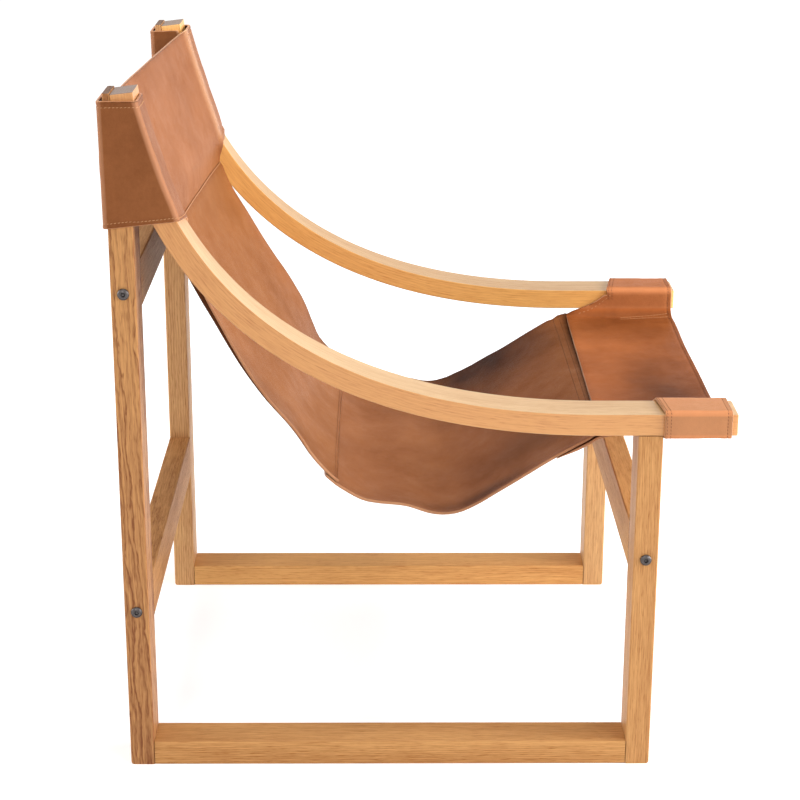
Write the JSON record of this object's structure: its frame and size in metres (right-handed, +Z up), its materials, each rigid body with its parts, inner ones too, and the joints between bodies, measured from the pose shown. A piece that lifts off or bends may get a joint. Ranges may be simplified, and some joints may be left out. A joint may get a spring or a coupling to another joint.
{
  "type": "sling lounge chair",
  "caption": "Low lounge chair: timber side frames with long bent arms, joined by cross rails, carry a stitched leather sling seat and back.",
  "frame": {"origin": "centre of the bounding box at floor level", "axes": "+Z up; -Y the way the sitter looks; +X towards the sitter's left, across the width between the two side frames"},
  "size_m": [0.6248, 0.7488, 0.8524],
  "materials": {
    "oak": "oiled oak with an open straight grain",
    "bent_oak": "oiled bent laminated oak, grain along the bend",
    "leather": "tan saddle leather, waxed, with worn highlights",
    "bolt_steel": "nickel-plated steel, smooth",
    "nut_steel": "zinc-plated steel",
    "dowel_beech": "raw fluted beech"
  },
  "bodies": {
    "root": {"right_rear_leg": "oak", "right_front_leg": "oak", "right_floor_rail": "oak", "right_arm": "bent_oak", "left_rear_leg": "oak", "left_front_leg": "oak", "left_floor_rail": "oak", "left_arm": "bent_oak", "rear_upper_cross_rail": "oak", "rear_upper_right_bolt": "bolt_steel", "rear_upper_right_barrel_nut": "nut_steel", "rear_upper_right_top_dowel": "dowel_beech", "rear_upper_right_low_dowel": "dowel_beech", "rear_upper_left_bolt": "bolt_steel", "rear_upper_left_barrel_nut": "nut_steel", "rear_upper_left_top_dowel": "dowel_beech", "rear_upper_left_low_dowel": "dowel_beech", "rear_lower_cross_rail": "oak", "rear_lower_right_bolt": "bolt_steel", "rear_lower_right_barrel_nut": "nut_steel", "rear_lower_right_top_dowel": "dowel_beech", "rear_lower_right_low_dowel": "dowel_beech", "rear_lower_left_bolt": "bolt_steel", "rear_lower_left_barrel_nut": "nut_steel", "rear_lower_left_top_dowel": "dowel_beech", "rear_lower_left_low_dowel": "dowel_beech", "front_cross_rail": "oak", "front_right_bolt": "bolt_steel", "front_right_barrel_nut": "nut_steel", "front_right_top_dowel": "dowel_beech", "front_right_low_dowel": "dowel_beech", "front_left_bolt": "bolt_steel", "front_left_barrel_nut": "nut_steel", "front_left_top_dowel": "dowel_beech", "front_left_low_dowel": "dowel_beech", "head_panel": "leather", "lower_back_panel": "leather", "seat_panel": "leather", "front_panel": "leather"}
  },
  "joints": []
}
